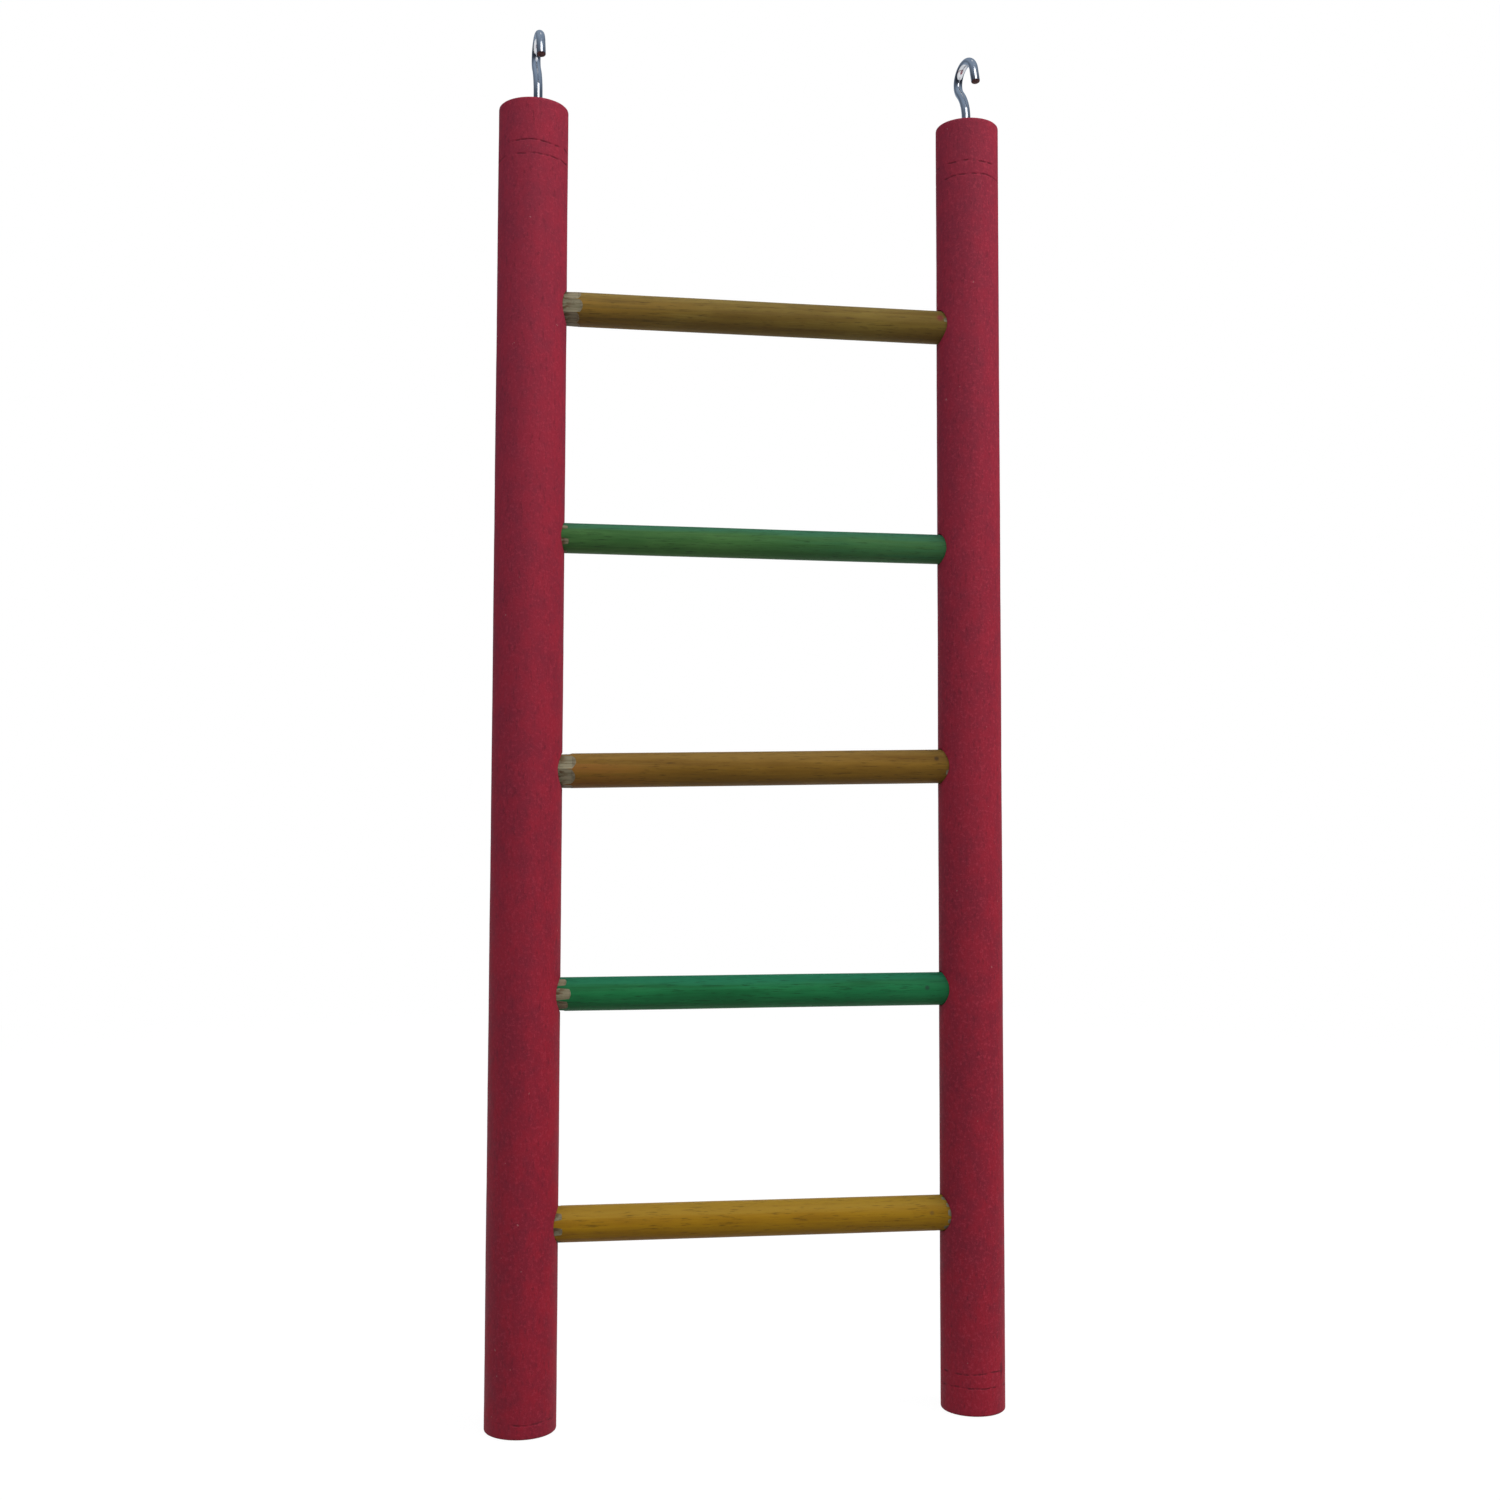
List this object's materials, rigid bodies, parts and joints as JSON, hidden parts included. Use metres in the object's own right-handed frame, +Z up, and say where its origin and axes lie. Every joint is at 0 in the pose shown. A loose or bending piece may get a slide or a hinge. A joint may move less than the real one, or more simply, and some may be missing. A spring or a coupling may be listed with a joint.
{
  "type": "hanging wooden cage ladder",
  "caption": "Rigid wooden ladder for a bird cage: round red rails, dyed dowel rungs in blind sockets, and an open screw hook in the top of each rail to hang it on a bar.",
  "frame": {"origin": "midway between the rails, on the line where a bar lies under the crowns of both hooks", "axes": "+Z up along the rails, +X to the right of someone facing the ladder, +Y away from them"},
  "size_m": [0.1828, 0.0248, 0.4899],
  "materials": {
    "rail_paint": "thin matte red paint over turned wood, mottled by the grain",
    "yellow_dye": "ochre yellow dye with the grain showing, satin",
    "green_dye": "green dye with the grain showing, satin",
    "hook_plating": "bright plated steel wire"
  },
  "bodies": {
    "ladder": {"left_rail": "rail_paint", "right_rail": "rail_paint", "rung_1": "yellow_dye", "rung_2": "green_dye", "rung_3": "yellow_dye", "rung_4": "green_dye", "rung_5": "yellow_dye"},
    "left_hook": {"left_hook": "hook_plating"},
    "right_hook": {"right_hook": "hook_plating"}
  },
  "joints": [
    {"name": "left_hook_turn", "type": "hinge", "parent": "ladder", "child": "left_hook", "pos_m": [-0.0781, 0, -0.0268], "axis": [0, 0, 1], "range_deg": [-180, 180]},
    {"name": "right_hook_turn", "type": "hinge", "parent": "ladder", "child": "right_hook", "pos_m": [0.0793, 0, -0.0228], "axis": [0, 0, 1], "range_deg": [-180, 180]}
  ]
}
